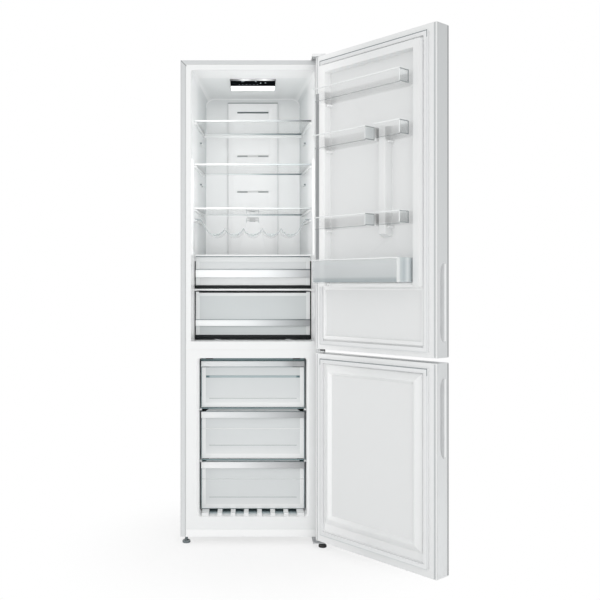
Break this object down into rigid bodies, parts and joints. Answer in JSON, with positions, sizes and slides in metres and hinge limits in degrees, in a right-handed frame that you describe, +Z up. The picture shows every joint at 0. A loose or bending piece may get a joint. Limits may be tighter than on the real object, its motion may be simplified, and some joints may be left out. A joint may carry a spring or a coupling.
{
  "type": "bottom freezer refrigerator",
  "caption": "Free-standing refrigerator over a bottom freezer, both hinged doors open, with glass shelves, bottle rack, crispers, door bins, freezer drawers, feet and rollers.",
  "frame": {"origin": "centre of the front left foot's sole, on the floor", "axes": "+X to the right seen from the front, +Y from the front to the back, +Z up; the doors face -Y"},
  "size_m": [0.994, 1.0829, 2],
  "materials": {
    "coated_steel": "satin",
    "door_steel": "satin",
    "liner_white": "satin",
    "clear_plastic": "gloss",
    "shelf_glass": "gloss",
    "trim_white": "gloss",
    "satin_bar": "satin",
    "black_glass": "gloss",
    "light_diffuser": "satin",
    "seal": "matte",
    "foam": "matte",
    "zinc_steel": "satin",
    "black_paint": "satin",
    "dark_rubber": "matte",
    "bare_aluminium": "satin"
  },
  "bodies": {
    "cabinet": {"outer_casing": "coated_steel", "rear_panel": "coated_steel", "base_plate": "coated_steel", "cabinet_foam": "foam", "fridge_liner": "liner_white", "freezer_liner": "liner_white", "air_duct_cover": "liner_white", "control_housing": "satin_bar", "control_display": "black_glass", "ceiling_light_lens": "light_diffuser", "side_light_left": "light_diffuser", "side_light_right": "light_diffuser", "crisper_cover": "shelf_glass", "crisper_divider": "trim_white", "freezer_shelf_upper": "shelf_glass", "freezer_shelf_lower": "shelf_glass", "evaporator": "bare_aluminium", "freezer_rear_cover": "liner_white", "compressor": "black_paint", "drip_tray": "trim_white", "top_hinge": "zinc_steel", "top_hinge_cover": "trim_white", "middle_hinge": "zinc_steel", "bottom_hinge": "zinc_steel"},
    "fan": {"evaporator_fan": "trim_white"},
    "left_front_foot": {"front_foot_left": "zinc_steel"},
    "right_front_foot": {"front_foot_right": "dark_rubber"},
    "left_rear_roller": {"rear_roller_left": "dark_rubber"},
    "right_rear_roller": {"rear_roller_right": "dark_rubber"},
    "upper_shelf": {"upper_shelf_frame": "trim_white", "upper_shelf_glass": "shelf_glass"},
    "middle_shelf": {"middle_shelf_frame": "trim_white", "middle_shelf_glass": "shelf_glass"},
    "lower_shelf": {"lower_shelf_frame": "trim_white", "lower_shelf_glass": "shelf_glass"},
    "rack": {"bottle_rack": "clear_plastic"},
    "upper_crisper": {"upper_crisper_tub": "clear_plastic", "upper_crisper_handle": "satin_bar"},
    "lower_crisper": {"lower_crisper_tub": "clear_plastic", "lower_crisper_handle": "satin_bar"},
    "upper_drawer": {"upper_drawer_tub": "clear_plastic", "upper_drawer_handle": "satin_bar"},
    "middle_drawer": {"middle_drawer_tub": "clear_plastic", "middle_drawer_handle": "satin_bar"},
    "lower_drawer": {"lower_drawer_tub": "clear_plastic", "lower_drawer_handle": "satin_bar"},
    "upper_door": {"upper_door_skin": "door_steel", "upper_door_foam": "foam", "upper_door_liner": "liner_white", "upper_door_gasket": "seal"},
    "lower_door": {"lower_door_skin": "door_steel", "lower_door_foam": "foam", "lower_door_liner": "liner_white", "lower_door_gasket": "seal"},
    "top_door_bin": {"top_bin": "clear_plastic"},
    "wide_middle_bin": {"middle_bin_wide": "clear_plastic"},
    "narrow_middle_bin": {"middle_bin_narrow": "clear_plastic"},
    "wide_lower_bin": {"lower_bin_wide": "clear_plastic"},
    "narrow_lower_bin": {"lower_bin_narrow": "clear_plastic"},
    "bottle_door_bin": {"bottle_bin": "clear_plastic"}
  },
  "joints": [
    {"name": "upper_door_swing", "type": "hinge", "parent": "cabinet", "child": "upper_door", "pos_m": [0.5583, -0.0603, 0.85], "axis": [0, 0, 1], "range_deg": [-130.5, 3]},
    {"name": "lower_door_swing", "type": "hinge", "parent": "cabinet", "child": "lower_door", "pos_m": [0.5583, -0.0603, 0.4], "axis": [0, 0, 1], "range_deg": [-130.5, 3]},
    {"name": "upper_shelf_slide", "type": "slide", "parent": "cabinet", "child": "upper_shelf", "axis": [0, -1, 0], "range_m": [0, 0.2]},
    {"name": "middle_shelf_slide", "type": "slide", "parent": "cabinet", "child": "middle_shelf", "axis": [0, -1, 0], "range_m": [0, 0.2]},
    {"name": "lower_shelf_slide", "type": "slide", "parent": "cabinet", "child": "lower_shelf", "axis": [0, -1, 0], "range_m": [0, 0.2]},
    {"name": "rack_slide", "type": "slide", "parent": "cabinet", "child": "rack", "axis": [0, -1, 0], "range_m": [0, 0.2]},
    {"name": "upper_crisper_slide", "type": "slide", "parent": "cabinet", "child": "upper_crisper", "axis": [0, -1, 0], "range_m": [0, 0.22]},
    {"name": "lower_crisper_slide", "type": "slide", "parent": "cabinet", "child": "lower_crisper", "axis": [0, -1, 0], "range_m": [0, 0.25]},
    {"name": "upper_drawer_slide", "type": "slide", "parent": "cabinet", "child": "upper_drawer", "axis": [0, -1, 0], "range_m": [0, 0.27]},
    {"name": "middle_drawer_slide", "type": "slide", "parent": "cabinet", "child": "middle_drawer", "axis": [0, -1, 0], "range_m": [0, 0.27]},
    {"name": "lower_drawer_slide", "type": "slide", "parent": "cabinet", "child": "lower_drawer", "axis": [0, -1, 0], "range_m": [0, 0.2]},
    {"name": "top_door_bin_lift", "type": "slide", "parent": "upper_door", "child": "top_door_bin", "axis": [0, 0, 1], "range_m": [0, 0.03]},
    {"name": "wide_middle_bin_lift", "type": "slide", "parent": "upper_door", "child": "wide_middle_bin", "axis": [0, 0, 1], "range_m": [0, 0.03]},
    {"name": "narrow_middle_bin_lift", "type": "slide", "parent": "upper_door", "child": "narrow_middle_bin", "axis": [0, 0, 1], "range_m": [0, 0.03]},
    {"name": "wide_lower_bin_lift", "type": "slide", "parent": "upper_door", "child": "wide_lower_bin", "axis": [0, 0, 1], "range_m": [0, 0.03]},
    {"name": "narrow_lower_bin_lift", "type": "slide", "parent": "upper_door", "child": "narrow_lower_bin", "axis": [0, 0, 1], "range_m": [0, 0.03]},
    {"name": "bottle_door_bin_lift", "type": "slide", "parent": "upper_door", "child": "bottle_door_bin", "axis": [0, 0, 1], "range_m": [0, 0.03]},
    {"name": "fan_spin", "type": "hinge", "parent": "cabinet", "child": "fan", "pos_m": [0.275, 0.3845, 0.705], "axis": [0, 1, 0], "continuous": true},
    {"name": "left_foot_turn", "type": "hinge", "parent": "cabinet", "child": "left_front_foot", "pos_m": [0, 0, 0], "axis": [0, 0, 1], "continuous": true},
    {"name": "right_foot_turn", "type": "hinge", "parent": "cabinet", "child": "right_front_foot", "pos_m": [0.5583, -0.0603, 0], "axis": [0, 0, 1], "continuous": true},
    {"name": "left_roller_spin", "type": "hinge", "parent": "cabinet", "child": "left_rear_roller", "pos_m": [0.025, 0.52, 0.013], "axis": [1, 0, 0], "continuous": true},
    {"name": "right_roller_spin", "type": "hinge", "parent": "cabinet", "child": "right_rear_roller", "pos_m": [0.525, 0.52, 0.013], "axis": [1, 0, 0], "continuous": true}
  ]
}
